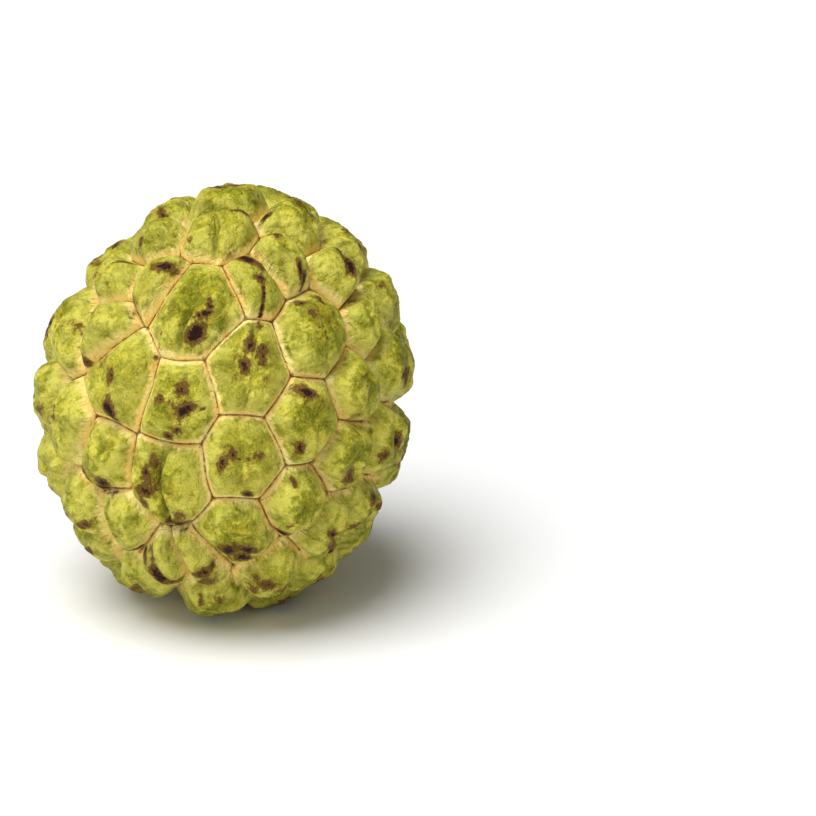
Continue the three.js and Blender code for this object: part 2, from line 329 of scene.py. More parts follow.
# %% A little map on every scale
ROW_COUNTS = {"A": 5, "B": 7, "C": 8, "D": 8, "E": 9, "F": 7}
SCALE_NAMES = [f"{row}{k + 1}" for row, count in ROW_COUNTS.items() for k in range(count)]
SCALE_INDEX = {name: k for k, name in enumerate(SCALE_NAMES)}

map_east = unit(np.cross([0.0, 0.0, 1.0], middles + [1e-6, 0, 0]))
map_north = np.cross(middles, map_east)


def on_map(index):
    """Millimetres east and north of one scale's middle for every skin direction."""
    return np.stack([skin_dir @ map_east[index], skin_dir @ map_north[index]], -1) * MEAN_RADIUS


# %% Seams and folds: scale, a path of east/north points in mm, depth share, half width in mm
SEAMS = [
    ("B3", [(-0.6, -1.0), (-1.7, -3.5), (-1.9, -7.5), (-1.2, -13)], 0.85, 0.55),
    ("B3", [(3.0, -3.5), (5.5, -7.5)], 0.12, 0.5),
    ("B3", [(0.8, 6.5), (1.4, 2.0), (1.0, -1.5)], 0.07, 0.8),
    ("C5", [(1.2, 3.6), (0.4, -1.0), (-1.0, -5.5), (-1.4, -9.5)], 0.32, 0.42),
    ("C5", [(-1.2, -6.0), (-1.6, -11.0)], 0.70, 0.5),
    ("C5", [(1.0, 10.0), (0.7, 5.0)], 0.55, 0.5),
    ("D5", [(-0.3, 7.5), (-0.2, 1.0), (0.1, -6.0)], 0.26, 0.45),
    ("D5", [(-4.5, 2.5), (-2.0, 0.0), (0.0, -1.5)], 0.06, 0.7),
    ("D5", [(4.8, 2.8), (2.0, 0.5), (0.0, -2.5)], 0.06, 0.7),
    ("D4", [(1.2, 10), (0.0, 6.2), (-0.4, 3.2), (0.7, -1.5), (0.6, -8.5)], 0.80, 0.85),
    ("D4", [(-5.5, 5.0), (-2.0, 4.0)], 0.06, 0.6),
    ("A2", [(0.3, 3.0), (-0.8, -2.0), (-1.0, -10)], 0.70, 0.7),
    ("B4", [(-1.6, 2.5), (0.2, -0.5), (-0.3, -7.5)], 0.10, 0.6),
    ("C4", [(1.5, 8.0), (0.5, 3.0), (-1.5, -2.0), (-2.0, -6.0)], 0.08, 0.9),
    ("C4", [(-5.0, 2.0), (-1.0, 0.5), (4.5, 0.2)], 0.05, 0.8),
    ("C3", [(-1.0, 7.0), (-1.8, 1.0), (-0.6, -5.0)], 0.08, 0.9),
    ("C6", [(-3.5, 4.5), (0.5, 2.5), (3.5, -3.5)], 0.12, 0.9),
    ("C6", [(0.0, 6.5), (3.5, 3.5), (5.0, -1.0)], 0.10, 0.8),
    ("D6", [(-1.0, 5.5), (1.0, 1.0), (0.5, -5.5)], 0.22, 0.45),
    ("D6", [(2.0, 3.0), (3.6, -2.5)], 0.10, 0.7),
    ("E6", [(0.0, 5.0), (0.3, -1.0), (0.4, -7.0)], 0.12, 0.8),
    ("E7", [(0.0, 5.0), (0.8, 0.0), (0.5, -6.0)], 0.14, 0.8),
    ("E7", [(3.2, 3.5), (3.0, -3.5)], 0.18, 0.6),
    ("D3", [(-2.5, 4.5), (-2.5, 0.0), (-0.5, -5.0)], 0.12, 0.8),
    ("E3", [(-2.4, 6.0), (-2.8, 0.0), (-1.5, -6.0)], 0.70, 1.0),
    ("E4", [(-3.0, 5.0), (-2.4, 0.0), (0.5, -4.0)], 0.20, 0.8),
    ("E5", [(0.0, 4.5), (0.2, -3.0)], 0.15, 0.7),
    ("F4", [(-3.5, 2.5), (0.5, 0.5), (3.5, 1.5)], 0.14, 0.8),
    ("C2", [(-3.0, 5.0), (-3.2, -3.0)], 0.10, 0.8),
    ("B2", [(-2.0, 4.0), (-1.8, -4.0)], 0.10, 0.8),
]
rng = np.random.default_rng(20)
unseen = [k for k in range(len(centres)) if k != seat
          and (k >= len(SCALE_NAMES) or not any(SCALE_INDEX[s[0]] == k for s in SEAMS))]


def grown_seam(index):
    """A slightly bent midrib across one scale, of a random depth and slant."""
    r, slant, bow = reach[index], rng.normal(0, 0.4), rng.normal(0, 0.12)
    along = np.array([np.sin(slant), np.cos(slant)])
    across = np.array([along[1], -along[0]])
    path = [along * r * t + across * r * bow * (1 - t * t) for t in (0.8, 0.0, -0.9)]
    return index, path, rng.uniform(0.05, 0.18), rng.uniform(0.6, 0.9)


all_seams = [(SCALE_INDEX[name], path, share, width) for name, path, share, width in SEAMS]
all_seams += [grown_seam(index) for index in unseen]


def path_distance(points, path):
    """Shortest distance from each map point to the straight pieces of a path."""
    path = np.asarray(path, dtype=float)
    start, run = path[:-1], np.diff(path, axis=0)
    away = points[:, None] - start
    t = np.clip((away * run).sum(-1) / (run ** 2).sum(-1), 0, 1)
    return np.linalg.norm(away - t[..., None] * run, axis=-1).min(1)


seam_share = np.zeros(len(skin_dir))
for index, path, share, width in all_seams:
    own = skin_owner == index
    distance = path_distance(on_map(index)[own], path)
    seam_share[own] = np.maximum(seam_share[own], share * np.exp(-(distance / width) ** 2))
print("seams:", len(all_seams), "deepest share:", seam_share.max().round(2))

# %% Undulation


def waves(points_mm, wavelength, count, seed):
    """Sum of sine waves in random directions, divided by the root of half their number."""
    rng = np.random.default_rng(seed)
    heading = unit(rng.normal(size=(count, 3))) * rng.uniform(0.7, 1.4, (count, 1))
    phase = points_mm @ heading.T * (2 * np.pi / wavelength) + rng.uniform(0, 2 * np.pi, count)
    return np.sin(phase).sum(1) / np.sqrt(count / 2)


away_from_edge = smoothstep(from_groove, 0.3, 3.0)
undulation = 0.32 * waves(ground, 9.0, 26, 3) + 0.18 * waves(ground, 4.0, 30, 4)
undulation += 0.07 * waves(ground, 1.9, 36, 5)
folds = np.exp(-(waves(ground, 7.5, 26, 7) / 0.16) ** 2)
folds += 0.6 * np.exp(-(waves(ground, 4.2, 26, 8) / 0.14) ** 2)
undulation -= 0.36 * folds
print("undulation in mm:", np.round([undulation.min(), undulation.max()], 2))

# %% [markdown]
# ## Raising the scales
# The height of a point is the crown height of its scale times the cushion profile, less the share
# that seams take away, plus the undulation. The groove itself keeps its height, so neighbouring
# scales still meet exactly.

# %% Raise the scales
DOME_START, DOME_SHOULDER = 1.3, 2.2             # soft start at the groove, then a round shoulder
RIM_SHARE, RIM_WIDTH = 0.08, 0.3                # the lip beside the groove: share of height, mm
dome = 1 - (1 - inward ** DOME_START) ** DOME_SHOULDER
edge = 1 - np.exp(-from_groove / RIM_WIDTH)
profile = (1 - RIM_SHARE) * dome + RIM_SHARE * edge
swell = lifts[skin_owner] * profile * (1 - seam_share)
swell += away_from_edge * undulation * (lifts[skin_owner] > 0)
skin = ground + swell[:, None] * outward

# %% Fit to the CAD size and press the resting spot
low, high = np.array(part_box("fruit")) / MM
raw_low, raw_high = skin.min(0), skin.max(0)
fit = (high - low + [0, 0, REST_PRESS]) / (raw_high - raw_low)
skin = (skin - raw_low) * fit + low - [0, 0, REST_PRESS]
skin[:, 2] = np.maximum(skin[:, 2], 0)
print("fit to CAD:", np.round(fit, 3))


def mesh_object(name, points_mm, faces, stands_for):
    """A smooth mesh object in metres that rides on the root and hides the CAD part it stands for."""
    mesh = bpy.data.meshes.new(name)
    mesh.from_pydata((points_mm * MM).tolist(), [], list(map(list, faces)))
    mesh.polygons.foreach_set("use_smooth", np.ones(len(mesh.polygons), dtype=bool))
    piece = bpy.data.objects.new(name, mesh)
    bpy.context.scene.collection.objects.link(piece)
    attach(piece, "root")
    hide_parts(stands_for)
    return piece


# %% [markdown]
# ## What the skin remembers
# The colours follow the same map as the shape: cream along the grooves, corky brown where three
# scales meet, bruises where crowns were rubbed. Painting them on a flat sheet would need an
# unwrapped skin, so they are stored as numbers on the mesh points instead, and the material
# turns them into colour with fine noise of its own.

# %% Bruises and scars: scale, east and north in mm, half length, half width, turn, strength
BRUISES = [
    ("A1", 2.3, 0.3, 1.9, 0.9, 176, 0.85), ("A1", -1.6, -0.5, 1.8, 1.0, 176, 0.85),
    ("A2", 5.0, 5.5, 2.8, 1.0, 5, 0.9), ("A2", -3.0, 4.5, 1.7, 0.9, 0, 0.5),
    ("A2", -6.0, -1.5, 1.0, 0.8, 60, 0.55), ("A3", -5.6, 5.2, 0.8, 0.8, 0, 1.0),
    ("A3", 3.5, 2.7, 1.6, 0.6, -57, 0.8), ("A3", -0.8, -0.8, 2.6, 1.0, 59, 0.9),
    ("A4", 6.5, 4.5, 2.0, 0.9, 43, 0.8), ("A4", 4.0, 0.0, 1.4, 1.0, 51, 0.35),
    ("A5", -4.2, -2.2, 1.2, 1.0, 29, 0.6), ("A5", 3.0, -3.1, 1.1, 0.9, 29, 0.75),
    ("B1", 3.0, 3.6, 2.2, 1.0, 55, 0.7), ("B1", -1.2, -1.6, 1.3, 1.0, 22, 0.45),
    ("B1", 1.0, 1.0, 1.2, 0.8, 60, 0.4),
    ("B2", 1.9, 3.8, 2.1, 1.0, 30, 1.0), ("B2", 0.4, 2.4, 1.1, 0.7, 13, 0.6),
    ("B2", -2.4, -6.0, 1.3, 0.6, 100, 0.85),
    ("B3", 1.6, -5.2, 1.8, 1.6, 0, 1.1), ("B3", 2.2, -1.9, 1.9, 0.5, 4, 1.2),
    ("B3", 3.6, -0.4, 1.5, 0.5, 100, 1.2), ("B3", -3.8, -0.1, 1.0, 0.8, 97, 0.45),
    ("B3", -3.0, 1.2, 0.6, 0.6, 0, 0.4), ("B3", -6.6, -4.6, 1.0, 0.35, 87, 0.55),
    ("B3", -7.0, -7.2, 0.9, 0.35, 80, 0.55), ("B3", -7.2, -9.4, 0.6, 0.5, 0, 0.9),
    ("B3", 5.2, 4.6, 0.5, 0.4, 0, 0.5),
    ("B4", -1.0, 5.1, 3.3, 0.9, -52, 1.0), ("B4", 0.0, 0.0, 1.0, 0.9, 0, 0.9),
    ("B4", 0.0, -2.6, 1.8, 0.36, -98, 0.9), ("B4", -0.6, -6.0, 2.2, 0.38, -100, 0.95),
    ("B5", -1.1, 3.8, 1.6, 0.9, -42, 0.65), ("B5", -0.3, -4.2, 1.5, 0.55, -97, 1.0),
    ("B5", 0.5, -5.9, 1.2, 0.45, -112, 0.9), ("B5", -2.6, -1.6, 0.8, 0.6, 20, 0.4),
    ("B6", 0.0, 0.0, 2.2, 1.2, -108, 0.95), ("B6", 1.1, 3.0, 1.3, 1.0, -54, 0.75),
    ("B7", -1.5, -1.0, 1.7, 1.2, -151, 0.7), ("B7", 1.5, 2.5, 1.2, 0.8, 40, 0.6),
    ("C1", 0.1, 1.7, 1.6, 1.0, 20, 0.4), ("C1", 5.5, 1.4, 2.0, 1.0, -9, 0.5),
    ("C2", -1.5, 4.0, 1.7, 0.9, 70, 0.6), ("C2", -1.8, -6.4, 2.0, 0.9, -50, 0.85),
    ("C2", -2.8, 0.5, 1.0, 0.7, 80, 0.4),
    ("C3", -5.6, 1.6, 0.9, 0.8, 103, 0.55), ("C3", -4.6, 3.1, 0.9, 0.8, 11, 0.5),
    ("C3", -1.8, 0.0, 1.4, 1.1, 103, 0.9), ("C3", -0.7, -6.4, 2.1, 1.2, 105, 1.1),
    ("C3", 2.8, -3.0, 0.9, 0.8, 11, 0.45), ("C3", -2.6, 5.6, 1.0, 0.7, 90, 0.4),
    ("C4", 0.1, 3.5, 1.3, 1.3, 3, 0.85), ("C4", 1.3, -0.3, 1.9, 1.2, 3, 1.0),
    ("C4", -4.7, 1.6, 1.1, 0.9, 3, 0.75), ("C4", -1.8, 1.2, 1.1, 0.8, 3, 0.5),
    ("C4", 0.0, -4.2, 1.3, 0.8, 3, 0.8), ("C4", -2.3, -5.6, 0.9, 0.9, 3, 0.95),
    ("C4", 5.1, -0.6, 0.6, 0.4, 3, 0.75), ("C4", 0.8, -2.2, 0.8, 0.6, 40, 0.6),
    ("C5", -0.2, 3.7, 1.1, 1.2, -5, 1.0), ("C5", 2.5, 2.7, 1.0, 0.9, -5, 0.95),
    ("C5", 2.2, 0.9, 1.2, 1.0, 84, 0.8), ("C5", -1.5, 0.1, 1.3, 1.0, 84, 1.0),
    ("C5", -0.4, 5.8, 0.7, 0.6, -5, 0.55), ("C5", -3.6, -2.2, 1.4, 1.3, -5, 0.42),
    ("C5", 2.6, -2.3, 1.2, 1.2, -5, 0.42), ("C5", 1.9, 7.2, 0.6, 0.5, -5, 0.9),
    ("C5", 0.9, 5.4, 0.6, 0.5, 0, 0.5), ("C5", -3.0, 2.2, 0.7, 0.6, 0, 0.4),
    ("C6", -1.5, 3.4, 1.4, 0.9, -13, 0.65), ("C6", -1.7, 0.5, 1.2, 0.7, 65, 0.5),
    ("C6", 1.9, 5.2, 1.8, 0.8, -55, 0.7), ("C6", -0.6, -1.6, 0.5, 1.6, 0, 0.5),
    ("C6", 3.2, -1.0, 0.6, 0.5, 0, 0.6), ("C6", -2.6, 6.4, 1.3, 0.7, -22, 0.8),
    ("C6", 4.1, 1.6, 0.8, 0.7, 65, 0.4), ("C6", 0.8, 2.0, 0.7, 0.6, 0, 0.4),
    ("C7", 0.5, 4.5, 1.4, 0.8, -40, 0.5), ("C8", -4.4, 2.6, 1.0, 1.4, -100, 0.5),
    ("D1", 4.5, -1.7, 1.5, 1.0, 82, 0.65), ("D2", -0.9, 0.9, 1.4, 1.0, 83, 0.7),
    ("D3", -4.3, -2.6, 2.4, 1.2, -53, 0.7), ("D3", 0.6, -4.1, 1.5, 1.1, 13, 1.0),
    ("D3", -1.3, -6.2, 2.2, 1.0, 5, 1.0), ("D3", -2.0, 0.9, 1.0, 0.8, 13, 0.4),
    ("D3", 1.4, -6.4, 1.2, 0.8, 20, 0.8),
    ("D4", -1.4, 7.2, 1.3, 0.8, 88, 0.85), ("D4", -2.6, 4.4, 1.4, 0.9, 88, 1.0),
    ("D4", -2.6, 1.2, 2.0, 1.0, 6, 0.95), ("D4", -3.6, -1.5, 1.3, 1.0, 88, 0.75),
    ("D4", 3.9, -3.6, 1.4, 1.2, 6, 0.7), ("D4", 2.4, -7.2, 2.4, 1.5, 6, 1.1),
    ("D4", 0.2, 4.6, 1.6, 0.5, 80, 0.7), ("D4", 2.6, -5.2, 0.9, 0.7, 6, 0.6),
    ("D5", -2.2, 1.0, 1.3, 0.8, 90, 0.95), ("D5", -4.4, -0.5, 1.4, 0.9, 90, 0.95),
    ("D5", 0.9, 0.3, 0.9, 0.8, -4, 0.6), ("D5", 3.3, 1.1, 1.2, 1.0, -4, 0.6),
    ("D5", 0.3, -4.0, 1.3, 1.0, -4, 0.42), ("D5", 1.4, -7.6, 1.0, 0.9, -4, 1.0),
    ("D5", -3.4, 2.8, 1.0, 0.7, 30, 0.5), ("D5", 1.8, -1.6, 0.7, 0.6, 0, 0.5),
    ("D6", -0.3, 6.4, 2.0, 0.9, -36, 1.0), ("D6", -2.2, 7.2, 2.2, 1.2, -19, 0.5),
    ("D6", -3.4, -3.6, 1.3, 1.0, 85, 0.85), ("D6", 2.7, 3.8, 0.9, 0.7, 85, 0.4),
    ("D6", -0.6, -0.8, 0.9, 0.7, 40, 0.4),
    ("D7", -3.5, -4.8, 1.4, 1.1, 30, 0.5), ("D7", 0.5, 3.0, 1.2, 0.8, 10, 0.4),
    ("E1", 1.2, -2.7, 1.3, 1.0, -62, 0.8), ("E2", 2.0, -4.4, 2.0, 0.9, 20, 0.85),
    ("E2", -3.0, -3.0, 1.4, 1.0, 60, 0.6),
    ("E3", -2.1, -1.7, 1.5, 1.0, 73, 0.9), ("E3", 2.4, -5.4, 2.2, 1.0, -20, 0.9),
    ("E3", -0.8, -5.6, 1.6, 0.8, -10, 0.7),
    ("E4", -1.6, -2.1, 3.0, 1.1, -55, 0.95), ("E4", -2.3, 2.3, 1.6, 0.9, 78, 0.6),
    ("E4", 1.2, -4.4, 1.8, 0.9, 0, 0.8),
    ("E5", 0.0, 0.2, 2.1, 0.9, 3, 0.95), ("E5", 0.6, -2.6, 1.9, 1.3, 3, 0.75),
    ("E6", -1.7, -2.8, 1.7, 1.3, -4, 1.05), ("E6", 2.3, -3.2, 1.9, 1.1, -4, 1.0),
    ("E6", 1.2, -6.0, 1.6, 1.2, -4, 1.05), ("E6", -1.2, -6.4, 1.5, 0.9, 0, 0.75),
    ("E6", 0.2, -4.6, 0.9, 0.7, 0, 0.6),
    ("E7", -2.2, -6.2, 1.5, 1.1, -18, 0.95), ("E7", -1.5, 7.0, 0.7, 0.5, 98, 1.0),
    ("E7", -2.0, -2.4, 1.4, 0.6, 100, 0.55),
    ("E8", -1.9, -1.2, 1.6, 1.4, 98, 0.85), ("E8", -1.0, -5.0, 1.5, 0.9, 10, 0.7),
    ("F3", -2.3, 4.2, 1.8, 0.6, 86, 0.7), ("F3", 1.5, 5.0, 1.6, 1.0, 0, 0.5),
    ("F4", -1.5, 1.0, 2.8, 1.0, -7, 0.75), ("F4", -4.3, -0.6, 1.6, 1.1, -16, 0.6),
    ("F4", 2.2, -0.6, 1.8, 0.9, 10, 0.6), ("F2", 0.5, 1.0, 2.4, 1.1, -10, 0.8),
    ("F2", -2.0, -1.0, 1.8, 1.1, 0, 0.7), ("F1", 0.8, -2.0, 2.2, 1.1, 20, 0.75),
]
marked = {SCALE_INDEX[mark[0]] for mark in BRUISES}


def grown_bruises(index):
    """A random handful of marks around one crown, as the fruit gets in a crate."""
    marks = []
    for _ in range(rng.integers(3, 7)):
        east, north = rng.normal(0, 0.42, 2) * reach[index]
        half = rng.uniform(0.7, 1.9)
        marks.append((index, east, north, half, half * rng.uniform(0.45, 0.9),
                      rng.uniform(0, 180), rng.uniform(0.45, 1.05)))
    return marks


all_bruises = [(SCALE_INDEX[mark[0]], *mark[1:]) for mark in BRUISES]
for index in range(len(centres)):
    if index not in marked and index != seat:
        all_bruises += grown_bruises(index)


def bruise_strength(bruises):
    """Largest of strength * exp(-0.5 q^2), with q the distance in half sizes from each mark."""
    field = np.zeros(len(skin_dir))
    for index, east, north, half_long, half_wide, turn_deg, strength in bruises:
        near = skin_dir @ middles[index] > 0.9
        x, y = (on_map(index)[near] - [east, north]).T
        c, s = np.cos(np.radians(turn_deg)), np.sin(np.radians(turn_deg))
        q2 = ((c * x + s * y) / half_long) ** 2 + ((c * y - s * x) / half_wide) ** 2
        field[near] = np.maximum(field[near], strength * np.exp(-0.5 * q2))
    return field * smoothstep(from_groove, 0.0, 0.5)


bruise = bruise_strength(all_bruises)
print("bruises:", len(all_bruises), "share of skin:", (bruise > 0.5).mean().round(3))

# %% Numbers kept on the mesh points


def keep_on_points(piece, name, values):
    """A value, or a vector, for every mesh point under one name."""
    values = np.asarray(values, dtype=np.float32)
    kind, field = ("FLOAT", "value") if values.ndim == 1 else ("FLOAT_VECTOR", "vector")
    layer = piece.data.attributes.new(name, kind, "POINT")
    layer.data.foreach_set(field, values.ravel())


def from_middle(owner_of_point):
    """Map position of each point on its own scale, east and north in mm."""
    east = (skin_dir * map_east[owner_of_point]).sum(1)
    north = (skin_dir * map_north[owner_of_point]).sum(1)
    return np.stack([east, north], -1) * MEAN_RADIUS


place = from_middle(skin_owner)
radius = np.linalg.norm(place, axis=1) + 1e-6
spoke = np.column_stack([place / radius[:, None] * 5.0, radius * 0.22 + skin_owner * 3.7])
junction = MEAN_RADIUS * np.sqrt(np.maximum(2 - 2 * (skin_dir @ corner_at.T).max(1), 0))
tone = rng.uniform(-1, 1, len(centres))[skin_owner] * smoothstep(from_groove, 0, 2.0)
lower_side = -place[:, 1] / radius
shade_side = smoothstep(-(skin_dir[:, 0] * 0.75 + skin_dir[:, 2] * 0.15), -0.4, 0.9)
cream_width = 0.90 + 0.18 * lower_side + 0.35 * shade_side

fruit = mesh_object("fruit_skin", skin, quads, "fruit")
keep_on_points(fruit, "rim_mm", from_groove)
keep_on_points(fruit, "junction_mm", junction)
keep_on_points(fruit, "bruise", bruise)
keep_on_points(fruit, "tone", tone)
keep_on_points(fruit, "cream_width", cream_width)
keep_on_points(fruit, "seam", seam_share)
keep_on_points(fruit, "spoke", spoke)
print("fruit:", len(fruit.data.vertices), "points,", 2 * len(fruit.data.polygons), "triangles")

# %% [markdown]
# ## Words for finishes
# A material is a small net of nodes. Three short helpers keep the nets readable: one adds a node
# and fills its sockets, one does sums, and one turns a value into a soft mask between two limits.
# Colours are written as the eye meets them, from 0 to 255, and turned into light values.

# %% Node helpers


def seen(red, green, blue):
    """Light values of a colour given as 0 to 255: ((c + 0.055) / 1.055) ^ 2.4 above the toe."""
    c = np.array([red, green, blue]) / 255
    light = np.where(c <= 0.04045, c / 12.92, ((c + 0.055) / 1.055) ** 2.4)
    return (*light.tolist(), 1.0)


class Net:
    """A node tree with short calls; every call gives back the output socket it made."""

    def __init__(self, tree):
        self.tree = tree

    def add(self, kind, sockets=(), out=0, **settings):
        node = self.tree.nodes.new(kind)
        for key, value in settings.items():
            setattr(node, key, value)
        for key, value in dict(sockets).items():
            if isinstance(value, bpy.types.NodeSocket):
                self.tree.links.new(value, node.inputs[key])
            else:
                node.inputs[key].default_value = value
        return node.outputs[out]

    def sum(self, kind, a, b=0.0):
        return self.add("ShaderNodeMath", {0: a, 1: b}, operation=kind)

    def mask(self, value, low, high):
        """0 at low, 1 at high, soft in between; low may be the larger one."""
        turned = low > high
        sockets = {"Value": value, "From Min": min(low, high), "From Max": max(low, high),
                   "To Min": float(turned), "To Max": float(not turned)}
        return self.add("ShaderNodeMapRange", sockets, interpolation_type="SMOOTHSTEP")

    def blend(self, share, a, b, kind="MIX"):
        return self.add("ShaderNodeMix", {0: share, 6: a, 7: b}, out=2,
                        data_type="RGBA", blend_type=kind)

    def kept(self, name, out="Fac"):
        return self.add("ShaderNodeAttribute", out=out, attribute_name=name)

    def noise(self, at, size_mm, detail=3.0, rough=0.55, twist=0.0):
        return self.add("ShaderNodeTexNoise", {"Vector": at, "Scale": 1 / size_mm,
                        "Detail": detail, "Roughness": rough, "Distortion": twist})

    def object_mm(self):
        """Object coordinates in millimetres."""
        at = self.add("ShaderNodeTexCoord", out="Object")
        return self.add("ShaderNodeVectorMath", {0: at, 1: (1000, 1000, 1000)},
                        operation="MULTIPLY")


def new_group(name, takes, gives):
    """An empty shader node group with named float or colour sockets."""
    tree = bpy.data.node_groups.new(name, "ShaderNodeTree")
    for label, value in takes.items():
        kind = "NodeSocketColor" if isinstance(value, tuple) else "NodeSocketFloat"
        tree.interface.new_socket(label, in_out="INPUT", socket_type=kind).default_value = value
    for label, kind in gives.items():
        tree.interface.new_socket(label, in_out="OUTPUT", socket_type=kind)
    return tree, Net(tree), tree.nodes.new("NodeGroupInput"), tree.nodes.new("NodeGroupOutput")


def use_group(net, tree, sockets, out):
    """Place a node group, fill its sockets and give back the outputs asked for."""
    node = net.tree.nodes.new("ShaderNodeGroup")
    node.node_tree = tree
    for key, value in sockets.items():
        if isinstance(value, bpy.types.NodeSocket):
            net.tree.links.new(value, node.inputs[key])
        else:
            node.inputs[key].default_value = value
    return [node.outputs[name] for name in out]


# %% [markdown]
# ## Two effects shared by the skin, the stem and the floor
# Mottling is two sizes of cloudy noise that swing between three colours. Wrinkles are the same
# clouds folded at their middle value, which makes creases like those of drying skin or bark.

# %% Mottling and wrinkles
mottle_tree, net, given, result = new_group(
    "mottling",
    {"Patch mm": 8.0, "Grain mm": 1.5, "Sharpness": 0.5,
     "Main colour": (0.5, 0.5, 0.5, 1.0), "Dark colour": (0.2, 0.2, 0.2, 1.0),
     "Light colour": (0.8, 0.8, 0.8, 1.0)},
    {"Colour": "NodeSocketColor", "Amount": "NodeSocketFloat"})
at = net.object_mm()
patch_at = net.add("ShaderNodeVectorMath", {0: at, 1: given.outputs["Patch mm"]}, operation="DIVIDE")
grain_at = net.add("ShaderNodeVectorMath", {0: at, 1: given.outputs["Grain mm"]}, operation="DIVIDE")
patches = net.noise(patch_at, 1.0, detail=3, twist=0.3)
grain = net.noise(grain_at, 1.0, detail=5, rough=0.62, twist=0.4)
both = net.sum("ADD", net.sum("MULTIPLY", patches, 0.55), net.sum("MULTIPLY", grain, 0.45))
swing = net.sum("MULTIPLY", net.sum("SUBTRACT", both, 0.5), given.outputs["Sharpness"])
dark_share = net.mask(swing, 0.01, -0.09)
light_share = net.mask(swing, 0.02, 0.10)
colour = net.blend(dark_share, given.outputs["Main colour"], given.outputs["Dark colour"])
colour = net.blend(light_share, colour, given.outputs["Light colour"])
mottle_tree.links.new(colour, result.inputs["Colour"])
mottle_tree.links.new(both, result.inputs["Amount"])

wrinkle_tree, net, given, result = new_group(
    "wrinkles", {"Size mm": 2.0, "Grain mm": 0.4, "Grain share": 0.3},
    {"Height": "NodeSocketFloat"})
at = net.object_mm()
fold_at = net.add("ShaderNodeVectorMath", {0: at, 1: given.outputs["Size mm"]}, operation="DIVIDE")
fine_at = net.add("ShaderNodeVectorMath", {0: at, 1: given.outputs["Grain mm"]}, operation="DIVIDE")
folds = net.sum("ABSOLUTE", net.sum("SUBTRACT", net.noise(fold_at, 1.0, 3, 0.5, 0.5), 0.5))
fine = net.noise(fine_at, 1.0, 3, 0.6)
height = net.sum("ADD", folds, net.sum("MULTIPLY", fine, given.outputs["Grain share"]))
wrinkle_tree.links.new(height, result.inputs["Height"])


def surface(name, **constants):
    """A material with its Principled surface; constants go straight onto the shader's sockets."""
    material = bpy.data.materials.new(name)
    material.use_nodes = True
    shader = material.node_tree.nodes["Principled BSDF"]
    for label, value in constants.items():
        shader.inputs[label.replace("_", " ")].default_value = value
    return material, Net(material.node_tree), shader


def bump(net, height, distance_m, strength):
    return net.add("ShaderNodeBump", {"Height": height, "Distance": distance_m,
                                      "Strength": strength})


# %% [markdown]
# ## The skin
# The skin of a ripe custard apple is a dull yellow-green, clouded with olive and lime. It bleaches
# to cream where it dives into the grooves, streaked with green, and the groove itself is a thin
# corky line. Rubbed crowns turn brown and then purple-black. Each of these is one mask, laid over
# the one before, so any of them can be turned up or down by itself.

# %% Green ground
skin_finish, net, shader = surface("custard_apple_skin", Specular_IOR_Level=0.08,
                                   Subsurface_Weight=0.06, Subsurface_Scale=0.0015)
at = net.object_mm()
rim = net.kept("rim_mm")
spoke_at = net.kept("spoke", out="Vector")
[green] = use_group(net, mottle_tree, {
    "Patch mm": 6.5, "Grain mm": 1.6, "Sharpness": 1.5, "Main colour": seen(150, 147, 24),
    "Dark colour": seen(104, 104, 2), "Light colour": seen(206, 196, 76)}, ["Colour"])
own_tone = net.kept("tone")
green = net.blend(net.mask(own_tone, 0.1, 2.4), green, seen(194, 184, 62))
green = net.blend(net.mask(own_tone, -0.1, -2.4), green, seen(116, 120, 10))
fibres = net.mask(net.noise(spoke_at, 0.30, 3, 0.65, 0.6), 0.34, 0.66)
green = net.blend(net.sum("MULTIPLY", fibres, 0.28), green, seen(196, 196, 76))
yellow_patch = net.mask(net.noise(at, 3.6, 4, 0.65, 0.8), 0.54, 0.68)
green = net.blend(net.sum("MULTIPLY", yellow_patch, 0.5), green, seen(194, 166, 34))
veins = net.sum("ABSOLUTE", net.sum("SUBTRACT", net.noise(at, 2.6, 2, 0.5, 0.8), 0.5))
green = net.blend(net.sum("MULTIPLY", net.mask(veins, 0.028, 0.004), 0.18), green,
                  seen(198, 200, 92))
speckle = net.mask(net.noise(at, 0.5, 4, 0.7), 0.28, 0.72)
green = net.blend(0.28, green, speckle, "OVERLAY")
# Painted shade: the creases of the seams are darkened to a deep olive green.
seam_shade = net.mask(net.kept("seam"), 0.18, 0.70)
green = net.blend(net.sum("MULTIPLY", seam_shade, 0.60), green, seen(92, 104, 44))

# %% Cream rims that run into the green in streaks
streaks = net.noise(spoke_at, 0.42, 2, 0.6, 0.2)
width = net.kept("cream_width")
streaked = net.sum("ADD", rim, net.sum("MULTIPLY", net.sum("SUBTRACT", streaks, 0.5), 1.3))
streaked = net.sum("ADD", streaked,
                   net.sum("MULTIPLY", net.sum("SUBTRACT", net.noise(at, 2.2, 3), 0.5), 1.2))
relative = net.sum("DIVIDE", streaked, width)
halo = net.sum("MULTIPLY", net.mask(relative, 4.6, 0.8),
               net.mask(net.noise(at, 3.2, 4, 0.65, 0.5), 0.30, 0.70))
cream = net.blend(net.mask(net.noise(at, 5.0, 3), 0.35, 0.65), seen(252, 236, 156),
                  seen(250, 218, 130))
colour = net.blend(halo, green, seen(214, 208, 98))
colour = net.blend(net.mask(relative, 1.25, 0.45), colour, cream)

